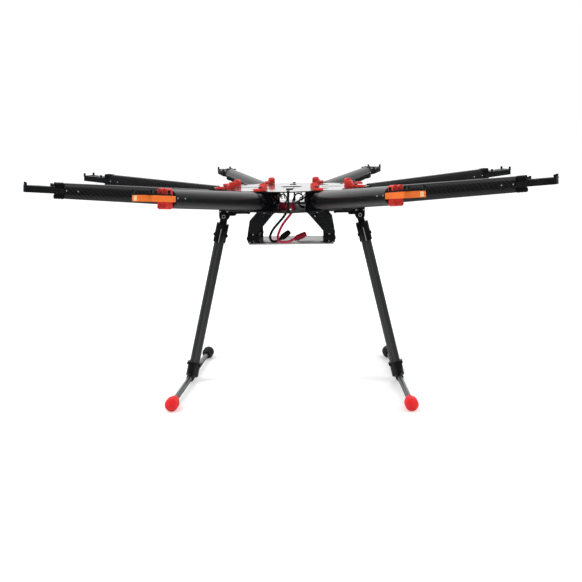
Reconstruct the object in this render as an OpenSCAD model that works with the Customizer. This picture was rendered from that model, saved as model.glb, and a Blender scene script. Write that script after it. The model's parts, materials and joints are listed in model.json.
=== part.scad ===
// Folding eight-arm multirotor frame: centre plates, fold-down booms, battery
// tray and swing-up landing legs. X is across, -Y is the front, Z is up, and
// the ground under the centre of the frame is the origin.

/* [Airframe] */
// Distance between opposite motor axes
wheelbase = 1000; // [960:5:1200]
// Upward slope of each arm in degrees
dihedral = 5.2; // [4:0.1:7]
// Corner to corner size of the octagonal plates
plate_across = 324; // [300:1:390]
// Thickness of each centre plate
plate_t = 2; // [1.5:0.1:2.4]
// Clear height between the two plates
bay_h = 36.5; // [35:0.5:44]
// Height of the lower plate's underside above the ground
deck_h = 378.4; // [350:0.1:460]

/* [Arm hinges] */
// Radius of the hinge pins of the arms
pin_r = 4; // [3:0.1:5]
// Outer radius of the two ears of a knuckle
ear_r = 15.5; // [14:0.1:16]
// Radius of the eye on a hinge block
eye_r = 11; // [9:0.1:12]
// Width of the tongue that carries the eye
tongue_w = 18; // [14:0.5:20]
// Width of a hinge block between the plates
block_w = 40; // [34:1:48]
// Radial depth of a hinge block
block_depth = 30; // [24:1:36]

/* [Booms] */
// Outside diameter at the inner end
boom_root_d = 35; // [33:0.5:36]
// Outside diameter at the outer end
boom_tip_d = 29.8; // [27:0.1:32]
// Wall of the tube
boom_wall = 1.3; // [1:0.1:1.8]
// How far a knuckle's plug reaches into its tube
plug_len = 34; // [20:1:60]

/* [Motor mounts] */
// Length of the clamp between a tube's end and its mount
clamp_len = 17; // [14:1:20]
// Height of the two front clamps
clamp_front_d = 32.6; // [31:0.1:34]
// Height of the other clamps
clamp_d = 30.8; // [30:0.1:32.6]
// Width of a motor mount
mount_w = 37.5; // [36.5:0.1:42]
// Height of a motor mount
mount_h = 12; // [10:0.5:15]
// Length of a mount from the motor axis to its tip
mount_tip = 27; // [24:0.5:30]
// Diameter of the circle of motor screws
motor_pcd = 25; // [19:1:30]
// Radius of a motor screw hole
motor_hole_r = 1.6; // [1.1:0.1:2.1]

/* [Latches] */
// Length of a latch
latch_len = 39; // [36:1:42]
// Width of a latch
latch_w = 11; // [9:0.5:13]
// Height of a latch at its thumb piece
latch_h = 13; // [10:0.5:16]
// How far a latch slides inwards
latch_travel = 6; // [3:0.5:7]

/* [Landing gear] */
// Distance of each leg pivot from the centre
pivot_x = 141.4; // [136:0.1:146]
// Drop from the lower plate to the leg pivot
pivot_drop = 18.3; // [16:0.1:22]
// Outward slope of a leg in degrees
splay = 13.4; // [8:0.1:16]
// Outward turn of the front end of each skid in degrees
toe_out = 2.4; // [0:0.1:5]
// Outside diameter of a leg tube
leg_d = 21; // [18:0.5:23]
// Half length of a skid between its caps' outer ends
skid_half = 207; // [180:1:240]
// Outside diameter of a skid tube
skid_d = 11; // [9:0.5:13]
// Outside diameter of the skid caps
cap_d = 26; // [22:0.5:30]

/* [Battery tray] */
// Width of the tray
tray_x = 172; // [172:1:200]
// Depth of the tray
tray_y = 128; // [120:1:150]
// Drop from the lower plate to the tray's top face
tray_drop = 69.7; // [66:0.1:76]
// Distance of the front and back struts from the middle
strut_y = 52; // [48:1:54]

/* [Leads] */
// Diameter of the battery leads
lead_d = 5; // [4:0.1:5.4]
// Diameter of the connectors
plug_d = 12; // [10:0.5:12]
// Length of the connectors
plug_l = 27; // [22:1:30]

/* [Hidden] */
$fn = 48;
arms = 8;
arm_step = 360 / arms;
numbers = [for (k = [1:arms]) k];
sides = [["left", -1], ["right", 1]];

// Clearances
pin_fit = 0.05;      // radial, round a pin that turns in its bore
tube_fit = 0.12;     // radial, between a tube and what is glued on or in it
seat = 0.05;         // between flat faces that are screwed together
body_gap = 0.4;      // between pieces that move past each other
fold_gap = 1.5;      // round a folded boom
through = 1;         // how far a cut runs past the face it opens

// Colours
carbon = "#2b2c2e";
black_plastic = "#1d1e20";
dark_blue = "#1c222c";
red = "#e2453c";
orange = "#f57c32";
rubber = "#161616";
steel = "#b9bbbd";

// Heights
plate_r = plate_across / 2;
flat_r = plate_r * cos(arm_step / 2);
bay_z = deck_h + plate_t;
top_z = bay_z + bay_h;
crown_z = top_z + plate_t;
hinge_rise = 2.5;
hinge_z = bay_z + bay_h / 2 + hinge_rise;
hinge_r = flat_r + ear_r;
notch_r = hinge_r - boom_root_d / 2 - fold_gap;
notch_w = boom_root_d + 2 * fold_gap;
plate_hole_r = 22;
window_r = 84;
window_w = 14;
window_l = 44;
standoff_r = plate_r - 12;
standoff_d = 5;
standoff_hole_d = 3;

// Stations along a boom, from its hinge pin outwards
motor_x = (wheelbase / 2 - hinge_r) / cos(dihedral);
mount_setback = 46;
boom_end = motor_x - mount_setback;
boom_start = eye_r + 4;
boom_len = boom_end - boom_start;
end_plug_l = 16;
end_lip = 1;
clamp_start = boom_end + end_lip;
clamp_end = clamp_start + clamp_len;
lobe_w = 18;
mount_z = -5;
deck_t = 2.4;
band_h = mount_h - deck_t - seat;
rim_t = 2.3;
core_w = mount_w - 2 * rim_t - 2 * seat;
corner_r = 5;
web_t = 3;
post_r = 2.4;
post_h = 5.5;
post_x = mount_tip - post_r - 1;
post_y = mount_w / 2 - post_r - 0.4;
shaft_hole_r = 5;

// Hinge pins
head_h = 2.5;
head_r = pin_r + 2.5;
screw_r = 2;
screw_head_r = 3.8;
screw_head_h = 2.4;

// Latches
latch_r0 = hinge_r - 44;
latch_z = crown_z + body_gap;
nose_h = 5;
nose_bevel = 2;
thumb_bevel = 3;
thumb_l = 14;
latch_screw_x = 20;

// Landing gear
pivot_z = deck_h - pivot_drop;
cap_r = cap_d / 2;
leg_len = (pivot_z - cap_r) / cos(splay);
gear_eye_r = 9;
gear_eye_w = 14;
cheek_t = 4;
cheek_gap = 0.3;
cheek_y = gear_eye_w / 2 + cheek_gap;
bracket_t = 3;
bracket_out = 17;
bracket_in = 24;
cheek_out = 10;
cheek_step = 1;
lever_drop = 11.5;
lever_pin_x = pivot_x - 17;
lever_pin_r = 2;
lever_t = 5;
lever_w = 10;
lever_eye_r = 4;
lever_knob_r = 3.5;
lever_tip_x = pivot_x - 51;
fork_r = 13;
neck_top = 16;
neck_w = 14;
neck_root = 2;
fork_end = 56;
split_top = 26;
split_w = 2.5;
tube_start = 24;
tee_top = 32;
tee_depth = 16;
tube_end = leg_len - tee_top + tee_depth;
tee_sleeve_l = 44;
tee_wall = 2.7;
cap_l = 46;
cap_taper = 5;
cap_bore = 26;

// Battery hanger
tray_z = deck_h - tray_drop;
tray_t = 2;
strap_slot = [28, 4];
strap_x = 30;
strap_inset = 9;
strut_t = 3;
strut_in = 65;
strut_out = 89;
knee_h = 24;
elbow = [84, 46];
root_in = [36, 58];
root_out = [67, 65];
brow = 27;
hole_drop = 14;
rod_r = 3.5;
rod_x = [71, 84];
rod_z = tray_z + 10;
ring_r = 6.6;
ring_t = 5;

// Power board
board = 92;
board_t = 1.6;
spacer_h = 6;
spacer_r = 3;
spacer_inset = 8;
terminal = [32, 16, 11];
terminal_at = [-22, -80];

// Battery leads: by hand, from the lower plate down to the tray
black_route = [[-9, -26, 0], [-9, -26, -4], [-10, -27, -9], [-13, -29, -15], [-18, -31, -21.5],
    [-24, -33.5, -28], [-30.5, -36.5, -35], [-36.5, -40, -42], [-41, -43, -49.5], [-43.5, -46, -56.5],
    [-43, -48.8, -61.8], [-39.5, -51.5, -65.6], [-34.5, -53, -66.6], [-29, -52.8, -65.4],
    [-24.5, -50, -63.4], [-21.5, -46.5, -61.4]];
red_route = [[3, -30, 0], [3, -30, -4], [1.5, -31, -9], [-2.5, -32.5, -15], [-8, -34.5, -21.5],
    [-14, -37, -28.5], [-19, -40.5, -36], [-23, -44.5, -43.5], [-26, -49.5, -51], [-27.5, -55, -57.5],
    [-26.5, -59.5, -62.8], [-22.5, -62.5, -66], [-16.5, -63.5, -66.8], [-9.5, -62.5, -66.6],
    [-3, -59.5, -65.6], [2.7, -56.2, -63.6], [7, -53.7, -61.9]];
lead_sides = 10;
plug_nose_l = 5;
plug_nose_r = lead_d / 2 + 1.5;

// Turns what follows to arm k, whose X then points outwards
module on_arm(k) rotate([0, 0, -67.5 + arm_step * (k - 1)]) children();

// Puts what follows on arm k's hinge pin, with X along the boom
module along_arm(k) on_arm(k) translate([hinge_r, 0, hinge_z]) rotate([0, -dihedral, 0]) children();

// Puts what follows on a leg's pivot, with Z up along the leg
module on_leg(side) scale_side(side) translate([pivot_x, 0, pivot_z]) rotate([0, -splay, 0]) children();

// Puts what follows at the foot of a leg, with Y along its skid
module on_foot(side) on_leg(side) translate([0, 0, -leg_len]) rotate([0, splay, 0]) rotate([0, 0, toe_out])
    children();

// Mirrors the right-hand piece to the left
module scale_side(side) {
    if (side < 0) mirror([1, 0, 0]) children();
    else children();
}

// A cylinder along X from station a to station b
module along_x(a, b, r1, r2) translate([a, 0, 0]) rotate([0, 90, 0]) cylinder(r1 = r1, r2 = r2, h = b - a);

// A cylinder along Y, centred
module along_y(r, w) rotate([90, 0, 0]) cylinder(r = r, h = w, center = true);

// Radius of a boom's outside at station x
function boom_r(x) = (boom_root_d + (boom_tip_d - boom_root_d) * (x - boom_start) / boom_len) / 2;

// The outline of both plates, with a notch at each arm
module plate_outline() difference() {
    circle(r = plate_r, $fn = arms);
    for (k = numbers) on_arm(k) translate([notch_r, -notch_w / 2]) square([plate_r, notch_w]);
    for (k = numbers) rotate(arm_step * k) translate([standoff_r, 0]) circle(d = standoff_hole_d);
}

module slot_2d(l, w) union() {
    square([l - w, w], center = true);
    for (s = [-1, 1]) translate([s * (l - w) / 2, 0]) circle(d = w);
}

module top_plate() color(carbon) translate([0, 0, top_z]) linear_extrude(plate_t) difference() {
    plate_outline();
    circle(r = plate_hole_r);
    for (k = numbers) rotate(arm_step * k) translate([window_r, 0]) slot_2d(window_l, window_w);
    for (k = numbers) on_arm(k) translate([latch_r0 + latch_screw_x, 0]) circle(r = screw_r + pin_fit);
}

module bottom_plate() color(carbon) translate([0, 0, deck_h]) linear_extrude(plate_t) difference() {
    plate_outline();
    for (k = numbers) rotate(arm_step * k) translate([window_r, 0]) slot_2d(window_l, window_w);
}

module plate_standoffs() color(black_plastic) for (k = numbers) rotate(arm_step * k)
    translate([standoff_r, 0, bay_z]) cylinder(d = standoff_d, h = bay_h);

// Blocks clamped between the plates, each with an eye for its arm
module arm_hinge_blocks() color(dark_blue) for (k = numbers) on_arm(k) difference() {
    union() {
        translate([notch_r - block_depth, -block_w / 2, bay_z]) cube([block_depth, block_w, bay_h]);
        translate([notch_r - through, -tongue_w / 2, hinge_z - eye_r])
            cube([hinge_r - notch_r + through, tongue_w, 2 * eye_r]);
        translate([hinge_r, 0, hinge_z]) along_y(eye_r, tongue_w);
    }
    translate([hinge_r, 0, hinge_z]) along_y(pin_r + pin_fit, tongue_w + 2 * through);
    for (s = [-1, 1]) translate([notch_r - block_depth / 2, s * block_w / 3, bay_z - through])
        cylinder(r = screw_r, h = bay_h + 2 * through);
}

module headed_pin(r, grip, head) {
    along_y(r, grip + 2 * head_h);
    for (s = [-1, 1]) translate([0, s * (grip + head_h) / 2, 0]) along_y(head, head_h);
}

module hinge_pins_and_screws() color(steel) {
    for (k = numbers) along_arm(k) headed_pin(pin_r, boom_root_d + 2 * body_gap, head_r);
    for (k = numbers) on_arm(k) translate([latch_r0 + latch_screw_x, 0, top_z]) {
        cylinder(r = screw_r, h = latch_z + nose_h + body_gap - top_z);
        translate([0, 0, latch_z + nose_h + body_gap - top_z])
            cylinder(r = screw_head_r, h = screw_head_h);
    }
    for (s = sides) scale_side(s[1]) {
        translate([pivot_x, 0, pivot_z]) headed_pin(pin_r, 2 * (cheek_y + cheek_t), head_r);
        translate([lever_pin_x, 0, deck_h - lever_drop]) along_y(lever_pin_r, 2 * (cheek_y + cheek_t));
    }
}

// The board that shares the battery's power between the arms, on spacers
module power_board() color("#20321f") {
    spacer_x = board / 2 - spacer_inset;
    translate([-board / 2, -board / 2, bay_z + spacer_h]) cube([board, board, board_t]);
    for (x = [-1, 1], y = [-1, 1]) translate([x * spacer_x, y * spacer_x, bay_z])
        cylinder(r = spacer_r, h = spacer_h);
    translate([terminal_at[0], terminal_at[1], bay_z]) cube(terminal);
}

// One strut, seen from the front, from the lower plate to the tray
module strut_outline() translate([0, -tray_drop]) difference() {
    polygon([[strut_in, 0], [strut_out, 0], [strut_out, knee_h - 6], elbow, root_out,
        [root_out[0], tray_drop], [brow, tray_drop], [brow, tray_drop - 5], root_in, [strut_in, knee_h]]);
    for (x = rod_x) translate([x, rod_z - tray_z]) circle(r = rod_r + pin_fit);
    translate([(root_in[0] + root_out[0]) / 2, tray_drop - hole_drop]) circle(r = rod_r);
}

module hanger_plates() color(carbon) for (x = [-1, 1], y = [-1, 1]) scale_side(x)
    translate([0, y * strut_y + strut_t / 2, deck_h]) rotate([90, 0, 0]) linear_extrude(strut_t)
        strut_outline();

// Rods through the struts' feet, with rubber rings on both sides of each strut
module damper_rods() color(rubber) for (s = sides, x = rod_x) scale_side(s[1]) translate([x, 0, rod_z]) {
    along_y(rod_r, 2 * (strut_y + strut_t / 2 + ring_t));
    for (y = [-1, 1], side = [-1, 1]) translate([0, y * strut_y + side * (strut_t + ring_t) / 2, 0])
        difference() {
            along_y(ring_r, ring_t);
            along_y(rod_r, ring_t + 2 * through);
        }
}

module battery_tray() color("#c9c5c5") translate([0, 0, tray_z - tray_t]) linear_extrude(tray_t)
    difference() {
        square([tray_x, tray_y], center = true);
        for (x = [-1, 1], y = [-1, 1]) translate([x * strap_x, y * (tray_y / 2 - strap_inset)])
            slot_2d(strap_slot[0], strap_slot[1]);
    }

// Brackets that carry the legs, under the lower plate
module gear_brackets() color(black_plastic) for (s = sides) scale_side(s[1]) {
    base_w = 2 * (cheek_y + cheek_t);
    difference() {
        union() {
            translate([pivot_x - bracket_in, -base_w / 2, deck_h - bracket_t])
                cube([bracket_in + bracket_out, base_w, bracket_t]);
            for (y = [-1, 1]) translate([pivot_x, y * (cheek_y + cheek_t / 2), pivot_z])
                cheek();
        }
        translate([pivot_x, 0, pivot_z]) along_y(pin_r + pin_fit, base_w + 2 * through);
        translate([lever_pin_x, 0, deck_h - lever_drop])
            along_y(lever_pin_r + pin_fit, base_w + 2 * through);
    }
}

module cheek() {
    along_y(cheek_out, cheek_t);
    translate([-cheek_out, -cheek_t / 2, 0]) cube([2 * cheek_out, cheek_t, pivot_drop - bracket_t]);
    translate([-bracket_in, -cheek_t / 2, cheek_step])
        cube([bracket_in, cheek_t, pivot_drop - bracket_t - cheek_step]);
}

// A bar under the lower plate that frees the leg
module gear_lever(side) color(black_plastic) scale_side(side) translate([0, 0, deck_h - lever_drop])
    difference() {
        union() {
            translate([lever_pin_x, 0, 0]) along_y(lever_eye_r, lever_w);
            translate([lever_tip_x, -lever_w / 2, -lever_t / 2])
                cube([lever_pin_x - lever_tip_x, lever_w, lever_t]);
            translate([lever_tip_x, 0, 0]) along_y(lever_knob_r, lever_w);
        }
        translate([lever_pin_x, 0, 0]) along_y(lever_pin_r + pin_fit, lever_w + 2 * through);
    }

// A tube swept round the points of a route
function unit(v) = v / norm(v);
function turn(p, i) = unit(p[min(i + 1, len(p) - 1)] - p[max(i - 1, 0)]);
function ring(p, i) = let (t = i == 0 ? [0, 0, -1] : turn(p, i), u = unit(cross(t, [0.9, -0.4, 0.1])),
    v = cross(t, u))
    [for (a = [0:lead_sides - 1]) p[i] + lead_d / 2 * (cos(a * 360 / lead_sides) * u
        + sin(a * 360 / lead_sides) * v)];
module lead(route) {
    p = [for (q = route) q + [0, 0, deck_h]];
    n = lead_sides;
    last = len(p) - 1;
    corner = function (i, a) i * n + a % n;
    polyhedron([for (i = [0:last]) each ring(p, i)],
        concat([[for (a = [n - 1:-1:0]) a]],
            [for (i = [0:last - 1], a = [0:n - 1]) [corner(i, a), corner(i, a + 1), corner(i + 1, a + 1)]],
            [for (i = [0:last - 1], a = [0:n - 1]) [corner(i, a), corner(i + 1, a + 1), corner(i + 1, a)]],
            [[for (a = [0:n - 1]) corner(last, a)]]), convexity = 6);
}

// A connector in line with the end of its lead, held up off the tray by it
module connector(route) {
    end = route[len(route) - 1];
    way = unit(end - route[len(route) - 2]);
    translate(end + [0, 0, deck_h]) rotate([0, -asin(way[2]), atan2(way[1], way[0])]) {
        along_x(0, plug_nose_l, plug_nose_r, plug_nose_r);
        along_x(plug_nose_l, plug_l, plug_d / 2, plug_d / 2);
    }
}

module lead_black() color("#141414") lead(black_route);
module lead_red() color("#a01c22") lead(red_route);
module connector_black() color("#2d332a") connector(black_route);
module connector_red() color("#6a1c22") connector(red_route);

// The fork and plug at a boom's inner end
module knuckle(k) color(black_plastic) along_arm(k) difference() {
    union() {
        intersection() {
            union() {
                along_y(ear_r, boom_root_d);
                translate([0, -boom_root_d / 2, -boom_root_d / 2])
                    cube([boom_start, boom_root_d, boom_root_d]);
            }
            along_x(-ear_r - through, boom_start, boom_root_d / 2, boom_root_d / 2);
        }
        along_x(boom_start - through, boom_start + plug_len,
            boom_r(boom_start - through) - boom_wall - tube_fit,
            boom_r(boom_start + plug_len) - boom_wall - tube_fit);
    }
    translate([-ear_r - through, -tongue_w / 2 - body_gap, -boom_root_d / 2 - through])
        cube([ear_r + eye_r + body_gap + through, tongue_w + 2 * body_gap, boom_root_d + 2 * through]);
    along_y(pin_r + pin_fit, boom_root_d + 2 * through);
}

module boom(k) color(carbon) along_arm(k) rotate([0, 90, 0]) rotate_extrude()
    polygon([[boom_root_d / 2 - boom_wall, boom_start], [boom_root_d / 2, boom_start],
        [boom_tip_d / 2, boom_end], [boom_tip_d / 2 - boom_wall, boom_end]]);

// What a boom's end carries: a plug in the tube, a clamp on it, and the mount
// that grips the clamp and carries the motor: a band and the deck on top of it
module motor_mount(k) {
    front = k == 1 || k == arms;
    along_arm(k) {
        color(black_plastic) along_x(boom_end - end_plug_l, clamp_start - seat,
            boom_r(boom_end - end_plug_l) - boom_wall - tube_fit, boom_r(boom_end) - boom_wall - tube_fit);
        color(front ? red : black_plastic) clamp(front ? clamp_front_d : clamp_d);
        color(front ? orange : black_plastic) mount_band();
        color(black_plastic) mount_deck();
    }
}

// A round upright lobe, on a core as wide as the inside of the band
module clamp(d) {
    intersection() {
        along_x(clamp_start, clamp_end, d / 2, d / 2);
        translate([clamp_start, -lobe_w / 2, -d / 2]) cube([clamp_len, lobe_w, d]);
    }
    translate([clamp_start, -core_w / 2, mount_z]) cube([clamp_len, core_w, band_h]);
}

// The mount seen from above: its sides are straight and its outer corners round
module mount_outline(inset) {
    tip = motor_x + mount_tip - inset;
    half = mount_w / 2 - inset;
    translate([clamp_start, -half]) square([tip - corner_r - clamp_start, 2 * half]);
    translate([clamp_start, -half + corner_r]) square([tip - clamp_start, 2 * (half - corner_r)]);
    for (s = [-1, 1]) translate([tip - corner_r, s * (half - corner_r)]) circle(r = corner_r);
}

module mount_band() difference() {
    translate([0, 0, mount_z]) linear_extrude(band_h) mount_outline(0);
    translate([0, 0, mount_z - through]) linear_extrude(band_h + 2 * through) difference() {
        mount_outline(rim_t);
        translate([clamp_end + seat, -mount_w / 2]) square([web_t, mount_w]);
    }
    translate([clamp_start - through, -core_w / 2 - seat, mount_z - through])
        cube([clamp_len + through + seat, core_w + 2 * seat, band_h + 2 * through]);
}

module mount_deck() translate([0, 0, mount_z + band_h + seat]) {
    difference() {
        linear_extrude(deck_t) difference() {
            mount_outline(0);
            translate([clamp_start - through, -lobe_w / 2 - seat])
                square([clamp_len + through + seat, lobe_w + 2 * seat]);
        }
        translate([motor_x, 0, -through]) cylinder(r = shaft_hole_r, h = deck_t + 2 * through);
        for (a = [45:90:315]) translate([motor_x, 0, -through]) rotate(a) translate([motor_pcd / 2, 0, 0])
            cylinder(r = motor_hole_r, h = deck_t + 2 * through);
    }
    for (x = [-1, 1], y = [-1, 1]) translate([motor_x + x * post_x, y * post_y, deck_t])
        cylinder(r = post_r, h = post_h);
}

// The slide that locks an arm: a thumb piece with a low nose over the knuckle
module latch(k) color(red) on_arm(k) translate([latch_r0, 0, latch_z]) difference() {
    rotate([90, 0, 0]) linear_extrude(latch_w, center = true)
        polygon([[0, 0], [latch_len, 0], [latch_len, nose_h - nose_bevel], [latch_len - nose_bevel, nose_h],
            [thumb_l + nose_bevel, nose_h], [thumb_l - thumb_bevel, latch_h], [thumb_bevel, latch_h],
            [0, latch_h - thumb_bevel]]);
    for (x = [0:latch_travel / 4:latch_travel]) translate([latch_screw_x + x, 0, -through])
        cylinder(r = screw_r + body_gap / 2, h = nose_h + 2 * through);
    translate([latch_screw_x, -screw_r - body_gap / 2, -through])
        cube([latch_travel, 2 * screw_r + body_gap, nose_h + 2 * through]);
}

// Everything on a leg is drawn along its own Z, from the pivot down
module leg_fork(side) color(black_plastic) on_leg(side) difference() {
    union() {
        along_y(gear_eye_r, gear_eye_w);
        translate([-neck_w / 2, -gear_eye_w / 2, -neck_top - neck_root])
            cube([neck_w, gear_eye_w, neck_top + neck_root]);
        translate([0, 0, -fork_end]) cylinder(r = fork_r, h = fork_end - neck_top);
    }
    along_y(pin_r + pin_fit, gear_eye_w + 2 * through);
    translate([-split_w / 2, -fork_r - through, -fork_end - through])
        cube([split_w, 2 * (fork_r + through), fork_end - split_top + through]);
    translate([0, 0, -fork_end - through])
        cylinder(r = leg_d / 2 + tube_fit, h = fork_end - tube_start + through);
}

module leg_tube(side) color(carbon) on_leg(side) difference() {
    translate([0, 0, -tube_end]) cylinder(d = leg_d, h = tube_end - tube_start);
    translate([0, 0, -leg_len]) cylinder(d = leg_d - 2 * boom_wall, h = leg_len);
}

module leg_tee(side) color(black_plastic) on_leg(side) difference() {
    union() {
        translate([0, 0, -leg_len]) cylinder(r = leg_d / 2 + tee_wall, h = tee_top);
        translate([0, 0, -leg_len]) rotate([0, splay, 0]) rotate([0, 0, toe_out])
            along_y(skid_d / 2 + tee_wall, tee_sleeve_l);
    }
    translate([0, 0, -tube_end]) cylinder(r = leg_d / 2 + tube_fit, h = tee_top);
    translate([0, 0, -leg_len]) rotate([0, splay, 0]) rotate([0, 0, toe_out])
        along_y(skid_d / 2 + tube_fit, tee_sleeve_l + 2 * through);
}

module leg_skid(side) color(carbon) on_foot(side) difference() {
    along_y(skid_d / 2, 2 * (skid_half - cap_l + cap_bore));
    along_y(skid_d / 2 - boom_wall, 2 * skid_half);
}

// A skid's end cap: a round rubber nose on a short socket
module leg_cap(side, way) on_foot(side) translate([0, way * (skid_half - cap_l), 0])
    rotate([-90 * way, 0, 0]) difference() {
        union() {
            cylinder(r1 = cap_r - cap_taper, r2 = cap_r, h = cap_l - 2 * cap_r);
            translate([0, 0, cap_l - 2 * cap_r]) cylinder(r = cap_r, h = cap_r);
            translate([0, 0, cap_l - cap_r]) sphere(r = cap_r);
        }
        translate([0, 0, -through]) cylinder(r = skid_d / 2 + tube_fit, h = cap_bore + through);
    }

top_plate();
bottom_plate();
plate_standoffs();
arm_hinge_blocks();
hinge_pins_and_screws();
power_board();
hanger_plates();
damper_rods();
battery_tray();
gear_brackets();
lead_black();
lead_red();
connector_black();
connector_red();
for (k = numbers) {
    knuckle(k);
    boom(k);
    motor_mount(k);
    latch(k);
}
for (s = sides) {
    leg_fork(s[1]);
    leg_tube(s[1]);
    leg_tee(s[1]);
    leg_skid(s[1]);
    color(red) leg_cap(s[1], -1);
    color(rubber) leg_cap(s[1], 1);
    gear_lever(s[1]);
}
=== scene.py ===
import json
import math
import bmesh
import bpy
from mathutils import Matrix, Vector


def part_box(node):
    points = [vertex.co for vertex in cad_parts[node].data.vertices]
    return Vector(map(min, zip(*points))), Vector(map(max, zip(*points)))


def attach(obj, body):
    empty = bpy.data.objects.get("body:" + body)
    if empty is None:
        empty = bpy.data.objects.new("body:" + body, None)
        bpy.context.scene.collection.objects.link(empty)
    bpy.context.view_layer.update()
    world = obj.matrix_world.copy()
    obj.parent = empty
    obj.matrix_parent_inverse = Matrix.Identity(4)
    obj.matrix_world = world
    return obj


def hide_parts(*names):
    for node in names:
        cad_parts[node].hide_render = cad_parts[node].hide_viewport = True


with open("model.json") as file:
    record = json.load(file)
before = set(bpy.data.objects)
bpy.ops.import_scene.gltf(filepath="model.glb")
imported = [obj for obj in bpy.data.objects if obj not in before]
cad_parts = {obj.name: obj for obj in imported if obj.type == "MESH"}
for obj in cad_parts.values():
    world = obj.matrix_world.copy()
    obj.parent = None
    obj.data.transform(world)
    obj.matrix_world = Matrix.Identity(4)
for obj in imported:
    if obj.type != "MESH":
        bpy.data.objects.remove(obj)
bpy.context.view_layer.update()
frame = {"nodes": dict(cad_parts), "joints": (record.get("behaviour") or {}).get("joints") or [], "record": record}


# ---------------------------------------------------------------- camera
# A camera a little above the centre plates and just right of the middle,
# tipped down so that the landing legs stay in view.
camera_place = Vector((0.0705, -1.6392, 0.5149))
camera_turn, camera_pitch, camera_roll = math.radians(2.627), math.radians(10.907), math.radians(-1.0)
camera_data = bpy.data.cameras.new("view_camera")
camera_data.sensor_width = 36.0
camera_data.lens = 48.6
camera = bpy.data.objects.new("view_camera", camera_data)
camera.matrix_world = (Matrix.Translation(camera_place) @ Matrix.Rotation(camera_turn, 4, "Z")
                       @ Matrix.Rotation(math.pi / 2 - camera_pitch, 4, "X")
                       @ Matrix.Rotation(camera_roll, 4, "Z"))
bpy.context.scene.collection.objects.link(camera)
bpy.context.scene.camera = camera


# ---------------------------------------------------------------- battery leads
# Two soft silicone leads come out of the lower plate and lie on the tray.
# Each is a copper strand bundle in a thick matt sleeve, soldered into its connector.
def linear(red, green, blue):
    """A display colour, 0 to 255, as the shader wants it."""
    return tuple(((c / 255 + 0.055) / 1.055) ** 2.4 if c > 10 else c / 255 / 12.92
                 for c in (red, green, blue)) + (1.0,)


def paint(name, colour, rough, metal=0.0, coat=0.0, coat_rough=0.1, specular=0.5):
    """A named finish with its plain numbers on the shader's own sockets."""
    finish = bpy.data.materials.new(name)
    finish.use_nodes = True
    shader = finish.node_tree.nodes["Principled BSDF"]
    shader.inputs["Base Color"].default_value = colour
    shader.inputs["Roughness"].default_value = rough
    shader.inputs["Metallic"].default_value = metal
    shader.inputs["Coat Weight"].default_value = coat
    shader.inputs["Coat Roughness"].default_value = coat_rough
    shader.inputs["Specular IOR Level"].default_value = specular
    return finish


def add_node(finish, kind, **settings):
    """A node of that kind, with its settings."""
    node = finish.node_tree.nodes.new(kind)
    for key, value in settings.items():
        setattr(node, key, value)
    return node


def grain(finish, scale, bump, colour_low, colour_high, rough_low, rough_high):
    """Mottles colour and roughness and raises a fine grain, in the piece's own space."""
    tree = finish.node_tree
    shader = tree.nodes["Principled BSDF"]
    where = add_node(finish, "ShaderNodeTexCoord")
    noise = add_node(finish, "ShaderNodeTexNoise")
    noise.inputs["Scale"].default_value = scale
    noise.inputs["Detail"].default_value = 5.0
    wear = add_node(finish, "ShaderNodeTexNoise")
    wear.inputs["Scale"].default_value = scale / 14
    wear.inputs["Detail"].default_value = 3.0
    tint = add_node(finish, "ShaderNodeValToRGB")
    tint.color_ramp.elements[0].position = 0.3
    tint.color_ramp.elements[1].position = 0.7
    tint.color_ramp.elements[0].color = colour_low
    tint.color_ramp.elements[1].color = colour_high
    rough = add_node(finish, "ShaderNodeMapRange")
    rough.inputs["From Min"].default_value = 0.3
    rough.inputs["From Max"].default_value = 0.7
    rough.inputs["To Min"].default_value = rough_low
    rough.inputs["To Max"].default_value = rough_high
    raised = add_node(finish, "ShaderNodeBump")
    raised.inputs["Strength"].default_value = bump
    raised.inputs["Distance"].default_value = 0.0004
    link = tree.links.new
    link(where.outputs["Object"], noise.inputs["Vector"])
    link(where.outputs["Object"], wear.inputs["Vector"])
    link(wear.outputs["Fac"], tint.inputs["Fac"])
    link(tint.outputs["Color"], shader.inputs["Base Color"])
    link(wear.outputs["Fac"], rough.inputs["Value"])
    link(rough.outputs["Result"], shader.inputs["Roughness"])
    link(noise.outputs["Fac"], raised.inputs["Height"])
    link(raised.outputs["Normal"], shader.inputs["Normal"])
    return finish


def shifted(colour, amount):
    """The colour made lighter or darker, for mottling."""
    return tuple(min(1.0, c * amount) for c in colour[:3]) + (1.0,)


def coloured(name, colour, rough, scale=900, bump=0.12, spread=0.12, **more):
    """A moulded or anodised finish: one colour, mottled a little, with a fine grain."""
    finish = paint(name, colour, rough, **more)
    return grain(finish, scale, bump, shifted(colour, 1 - spread), shifted(colour, 1 + spread),
                 rough * 0.85, min(1.0, rough * 1.2))


lead_diameter = 0.005
deck_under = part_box("bottom_plate")[0].z
tray_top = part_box("battery_tray")[1].z
black_route = [(-9, -26, 0), (-9, -26, -4), (-10, -27, -9), (-13, -29, -15), (-18, -31, -21.5), (-24, -33.5, -28),
               (-30.5, -36.5, -35), (-36.5, -40, -42), (-41, -43, -49.5), (-43.5, -46, -56.5), (-43, -48.8, -61.8),
               (-39.5, -51.5, -65.6), (-34.5, -53, -66.6), (-29, -52.8, -65.4), (-24.5, -50, -63.4),
               (-21.5, -46.5, -61.4)]
red_route = [(3, -30, 0), (3, -30, -4), (1.5, -31, -9), (-2.5, -32.5, -15), (-8, -34.5, -21.5), (-14, -37, -28.5),
             (-19, -40.5, -36), (-23, -44.5, -43.5), (-26, -49.5, -51), (-27.5, -55, -57.5), (-26.5, -59.5, -62.8),
             (-22.5, -62.5, -66), (-16.5, -63.5, -66.8), (-9.5, -62.5, -66.6), (-3, -59.5, -65.6),
             (2.7, -56.2, -63.6), (7, -53.7, -61.9)]


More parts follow.
